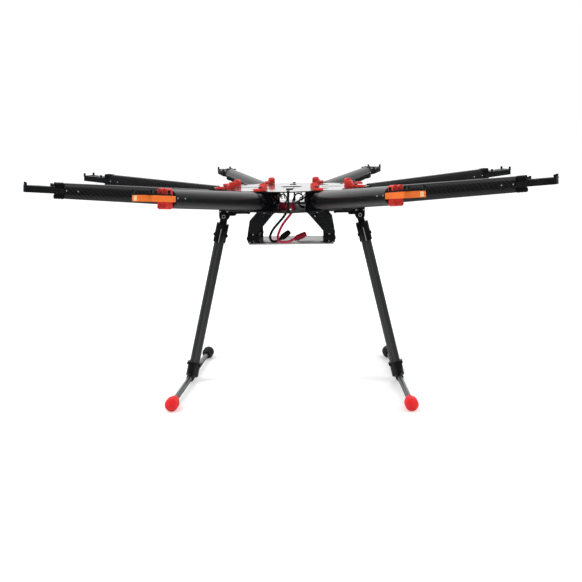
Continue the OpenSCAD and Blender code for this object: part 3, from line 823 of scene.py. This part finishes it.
tray_finish = coloured("tray_sheet", linear(188, 183, 183), 0.3, scale=500, bump=0.03, spread=0.04,
                       coat=0.4, coat_rough=0.15)
eased_piece("tray", "battery_tray", 0.0004, tray_finish, "frame")


# ---------------------------------------------------------------- landing gear
# Each leg hangs from a bracket under the lower plate: a fork on the pivot pin, a
# carbon tube, a tee, and a skid with a red rubber cap in front and a black one behind.
leg_lean = math.radians(13.4)
pin_face, bracket_face = 0.0138, 0.0113
bracket_screw_x, bracket_screw_z = 0.0076, 0.0102
SIDES = (("left", -1), ("right", 1))
leg_nylon = coloured("leg_nylon", linear(17, 17, 18), 0.36, spread=0.2, coat=0.4, coat_rough=0.2)
red_rubber = coloured("red_rubber", linear(244, 34, 38), 0.55, scale=1400, bump=0.15, spread=0.05)
eased_piece("leg_brackets", "gear_brackets", 0.0008, leg_nylon, "frame")
for side, sign in SIDES:
    leg = f"leg_{side}"
    pivot = Vector(joints[f"{leg}_retract"]["pos_m"])
    skid_low, skid_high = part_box(f"{leg}_skid")
    foot = (skid_low + skid_high) / 2
    up = (pivot - foot).normalized()
    tilt = Matrix((Vector((0, 1, 0)).cross(up), Vector((0, 1, 0)), up)).transposed().to_4x4()
    tilt.translation = pivot
    eased_piece(f"gear_lever_{side}_bar", f"gear_lever_{side}", 0.0007, leg_nylon, f"lever_{side}")
    eased_piece(f"{leg}_fork_eased", f"{leg}_fork", 0.001, leg_nylon, leg)
    eased_piece(f"{leg}_tee_eased", f"{leg}_tee", 0.001, leg_nylon, leg)
    tube = carbon(f"{leg}_carbon", (0, sign * leg_lean, 0), rough=0.42, coat=0.35, coat_rough=0.3,
                  dark=linear(48, 49, 50), light=linear(66, 67, 68), bump=0.1)
    dress(f"{leg}_tube", tube)
    skid = carbon(f"{leg}_skid_carbon", (0, 0, 0), rough=0.35, coat=0.5, coat_rough=0.2,
                  dark=linear(46, 47, 48), light=linear(66, 67, 68), bump=0.1)
    dress(f"{leg}_skid", skid)
    eased_piece(f"{leg}_cap_front_soft", f"{leg}_cap_front", 0.0005, red_rubber, leg)
    pivot_rings = bmesh.new()
    bracket_bolts = bmesh.new()
    painted_slot_strips = bmesh.new()
    for way in (-1, 1):
        face = Matrix.Translation((0, way * pin_face, 0)) @ Matrix.Rotation(way * math.pi / 2, 4, "Z")
        ring = turned([(0, 0.0027), (0.0001, 0.0038), (0.0004, 0.0038), (0.0004, 0.0027), (0, 0.0027)], 28)
        add_shape(pivot_rings, ring, tilt @ face)
        for x in (-bracket_screw_x, bracket_screw_x):
            at = Matrix.Translation((pivot.x + x, way * bracket_face, pivot.z + bracket_screw_z))
            add_shape(bracket_bolts, screw(0.0018, 0.0008, 12), at @ Matrix.Rotation(way * math.pi / 2, 4, "Z"))
        # Painted light: a pale strip down the front and back of each fork stands in for the bright backdrop seen
        # through its slot.
        add_shape(painted_slot_strips, prism([(-0.0009, -0.0123), (0.0009, -0.0123), (0.0009, -0.0111), (-0.0009, -0.0111)],
                               -0.0555, -0.0265), tilt @ Matrix.Rotation(math.pi if way > 0 else 0, 4, "Z"))
    finished(f"{leg}_pivot_rings", from_bmesh(f"{leg}_pivot_rings", pivot_rings), pale_zinc, leg)
    finished(f"{leg}_bracket_screws", from_bmesh(f"{leg}_bracket_screws", bracket_bolts), pale_zinc, "frame")
    finished(f"{leg}_painted_slot_light", from_bmesh(f"{leg}_painted_slot_light", painted_slot_strips), pale_zinc, leg)
    ears = bmesh.new()
    for way in (-1, 1):
        for half, radius, height in ((0.0146, 0.0028, -0.041), (0.0152, 0.003, 0.0276 - (pivot - foot).length)):
            boss = turned([(-half, 0), (-half, radius - 0.0006), (0.0006 - half, radius), (half - 0.0006, radius),
                           (half, radius - 0.0006), (half, 0)], 20)
            add_shape(ears, boss, tilt @ Matrix.Translation((0, way * 0.006, height)))
    finished(f"{leg}_clamp_ears", from_bmesh(f"{leg}_clamp_ears", ears), leg_nylon, leg)
    eased_piece(f"{leg}_cap_rear_soft", f"{leg}_cap_rear", 0.0005, soft_black, leg)


# ---------------------------------------------------------------- room
# A pale floor, a pale surround and soft light from above, behind and both sides.
# Mirrored rays meet a darker room, bright only overhead and behind.
floor_mesh = bmesh.new()
bmesh.ops.create_grid(floor_mesh, x_segments=1, y_segments=1, size=14)
floor = from_bmesh("floor", floor_mesh)
floor_finish = paint("pale_floor", (0.82, 0.82, 0.82, 1.0), 0.6, specular=0.0)


def ramp(tree, value, low, high, out_low, out_high):
    """Maps a value smoothly from one range to another."""
    node = tree.nodes.new("ShaderNodeMapRange")
    node.interpolation_type = "SMOOTHSTEP"
    for name, number in (("From Min", low), ("From Max", high), ("To Min", out_low), ("To Max", out_high)):
        node.inputs[name].default_value = number
    tree.links.new(value, node.inputs["Value"])
    return node.outputs["Result"]


def choose(tree, switch, when_off, when_on):
    """One value or the other, by a light path switch."""
    node = tree.nodes.new("ShaderNodeMix")
    node.data_type = "FLOAT"
    tree.links.new(switch, node.inputs[0])
    for socket, value in ((node.inputs[2], when_off), (node.inputs[3], when_on)):
        if isinstance(value, (int, float)):
            socket.default_value = value
        else:
            tree.links.new(value, socket)
    return node.outputs[0]


tree = floor_finish.node_tree
lit = tree.nodes["Principled BSDF"]
seen = tree.nodes.new("ShaderNodeLightPath")
where = tree.nodes.new("ShaderNodeTexCoord")
reach = tree.nodes.new("ShaderNodeVectorMath")
reach.operation = "LENGTH"
tree.links.new(where.outputs["Object"], reach.inputs[0])
near = ramp(tree, reach.outputs["Value"], 0.2, 0.75, 0.42, 0.03)
shade = tree.nodes.new("ShaderNodeCombineColor")
pale = choose(tree, seen.outputs["Is Glossy Ray"], 0.82, near)
for channel in ("Red", "Green", "Blue"):
    tree.links.new(pale, shade.inputs[channel])
tree.links.new(shade.outputs["Color"], lit.inputs["Base Color"])
lit.inputs["Emission Color"].default_value = (1, 1, 1, 1)
glow = ramp(tree, reach.outputs["Value"], 0.45, 2.2, 0.34, 0.68)
tree.links.new(choose(tree, seen.outputs["Is Camera Ray"], 0.0, glow), lit.inputs["Emission Strength"])
floor.data.materials.append(floor_finish)

world = bpy.data.worlds.new("pale_room")
world.use_nodes = True
tree = world.node_tree
air = tree.nodes["Background"]
air.inputs["Color"].default_value = (1.0, 1.0, 1.0, 1.0)
seen = tree.nodes.new("ShaderNodeLightPath")
where = tree.nodes.new("ShaderNodeTexCoord")
split = tree.nodes.new("ShaderNodeSeparateXYZ")
tree.links.new(where.outputs["Generated"], split.inputs["Vector"])
overhead = ramp(tree, split.outputs["Z"], 0.84, 1.0, 0.05, 0.9)
behind = ramp(tree, split.outputs["Y"], 0.6, 0.86, 0.06, 1.0)
brighter = tree.nodes.new("ShaderNodeMath")
brighter.operation = "MAXIMUM"
tree.links.new(overhead, brighter.inputs[0])
tree.links.new(behind, brighter.inputs[1])
around = ramp(tree, split.outputs["Y"], -0.6, 0.2, 0.3, 0.62)
mirrored = choose(tree, seen.outputs["Is Glossy Ray"], around, brighter.outputs["Value"])
looked_at = tree.nodes.new("ShaderNodeMath")
looked_at.operation = "MAXIMUM"
tree.links.new(seen.outputs["Is Camera Ray"], looked_at.inputs[0])
tree.links.new(seen.outputs["Is Transmission Ray"], looked_at.inputs[1])
tree.links.new(choose(tree, looked_at.outputs["Value"], mirrored, 1.0), air.inputs["Strength"])
bpy.context.scene.world = world
bpy.context.scene.view_settings.view_transform = "Standard"

# Each lamp's name, place, aim, width in metres and power in watts.
for name, place, aim, size, power in (("key", (-1.5, -0.7, 2.6), (0, 0, 0.35), 1.6, 38),
                                      ("fill", (1.8, -0.6, 2.0), (0, 0, 0.35), 1.4, 18),
                                      ("back", (0.3, 2.2, 2.2), (0, 0, 0.3), 1.8, 24),
                                      ("left", (-2.2, -0.7, 0.7), (-0.2, -0.4, 0.4), 1.0, 12),
                                      ("right", (2.2, -0.7, 0.7), (0.2, -0.4, 0.4), 1.0, 12)):
    lamp_data = bpy.data.lights.new(name, "AREA")
    lamp_data.size = size
    lamp_data.energy = power
    lamp = bpy.data.objects.new(name, lamp_data)
    lamp.location = place
    lamp.visible_glossy = False
    lamp.rotation_euler = (Vector(aim) - Vector(place)).to_track_quat("-Z", "Y").to_euler()
    bpy.context.scene.collection.objects.link(lamp)
